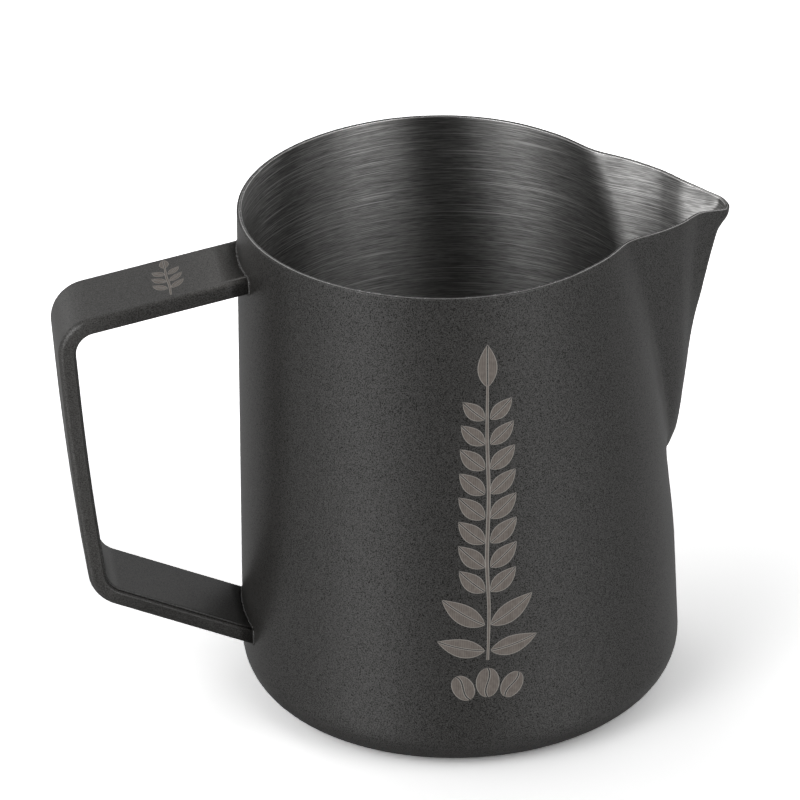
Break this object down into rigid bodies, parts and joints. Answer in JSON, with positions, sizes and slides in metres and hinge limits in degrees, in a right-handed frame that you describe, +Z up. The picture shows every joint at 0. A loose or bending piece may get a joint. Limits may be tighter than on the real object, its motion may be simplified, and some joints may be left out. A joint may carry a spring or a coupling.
{
  "type": "milk frothing pitcher",
  "caption": "Tapered stainless milk frothing pitcher with a pulled pointed spout, matte dark powder-coated outside, bare brushed inside and a welded angular strap handle.",
  "frame": {"origin": "centre of the flat underside, on the supporting surface", "axes": "+X towards the spout, -X towards the handle, +Z up; the plane y = 0 is the mirror plane through spout and handle"},
  "size_m": [0.1362, 0.0894, 0.1058],
  "materials": {
    "bare_steel": "brushed round the axis, polished rim edge",
    "body_coat": "matte charcoal powder coat with a fine sandy speckle",
    "handle_coat": "matte charcoal powder coat with a fine sandy speckle",
    "weld_coat": "powder coat over a small uneven weld bead"
  },
  "bodies": {
    "root": {"body_shell": "bare_steel", "body_coating": "body_coat", "handle_outer_channel": "handle_coat", "handle_inner_plate": "handle_coat", "upper_weld_bead": "weld_coat", "lower_weld_bead": "weld_coat"}
  },
  "joints": []
}
